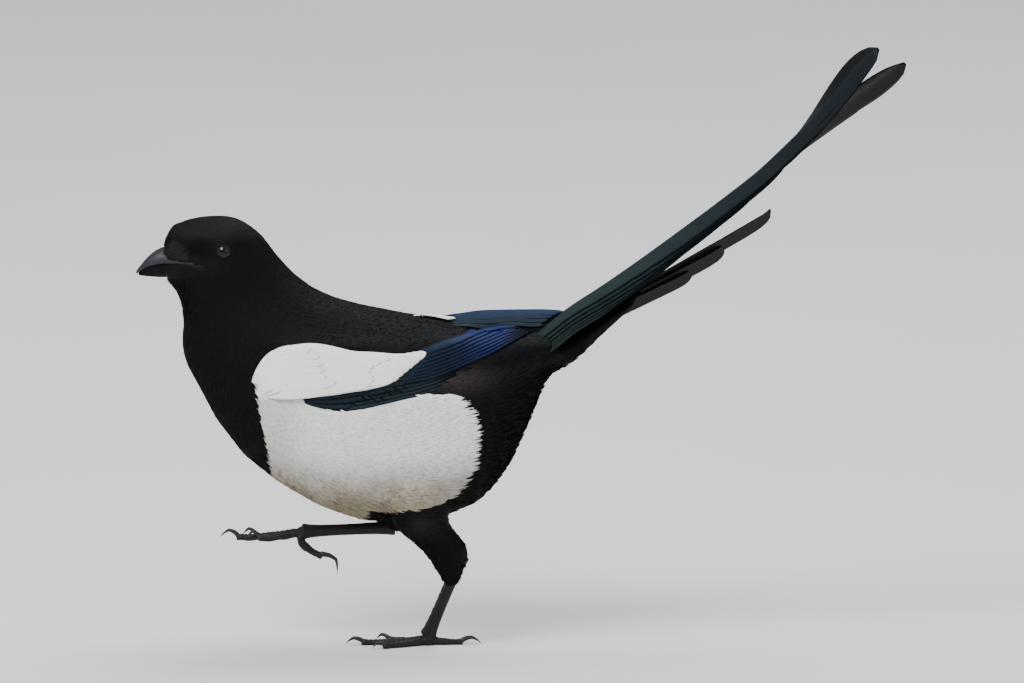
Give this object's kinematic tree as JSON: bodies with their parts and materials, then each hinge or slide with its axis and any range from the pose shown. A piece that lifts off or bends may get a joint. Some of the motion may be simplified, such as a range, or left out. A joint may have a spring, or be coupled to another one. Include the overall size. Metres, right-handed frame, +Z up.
{
  "type": "eurasian magpie",
  "caption": "Long-tailed crow-family bird in mid stride: glossy black with a white shoulder and belly, dark blue wings and a raised tail.",
  "frame": {"origin": "on the floor under the middle of the bird's box", "axes": "+Z up, -X ahead of the bill, -Y towards the bird's left side"},
  "size_m": [0.3899, 0.0804, 0.303],
  "materials": {
    "black_feathers": "soft black plumage with a faint blue gloss",
    "white_and_black_feathers": "white flanks and belly on black plumage",
    "wing_feathers": "glossy dark blue and green flight feathers with a white shoulder",
    "tail_feathers": "glossy slate black with green and bronze",
    "bill_horn": "satin black horn",
    "leg_scales": "black scales",
    "claw_horn": "smooth dark horn",
    "eye": "wet dark brown"
  },
  "bodies": {
    "root": {"head": "black_feathers", "neck": "black_feathers", "torso": "white_and_black_feathers", "tail": "tail_feathers", "wing_left": "wing_feathers", "wing_right": "wing_feathers", "thigh_left": "black_feathers", "thigh_right": "black_feathers", "bill_upper": "bill_horn", "bill_lower": "bill_horn", "eye_left": "eye", "eye_right": "eye", "tarsus_left": "leg_scales", "tarsus_right": "leg_scales", "foot_left": "leg_scales", "foot_right": "leg_scales", "claw_left_1": "claw_horn", "claw_left_2": "claw_horn", "claw_left_3": "claw_horn", "claw_left_4": "claw_horn", "claw_right_1": "claw_horn", "claw_right_2": "claw_horn", "claw_right_3": "claw_horn", "claw_right_4": "claw_horn"}
  },
  "joints": []
}
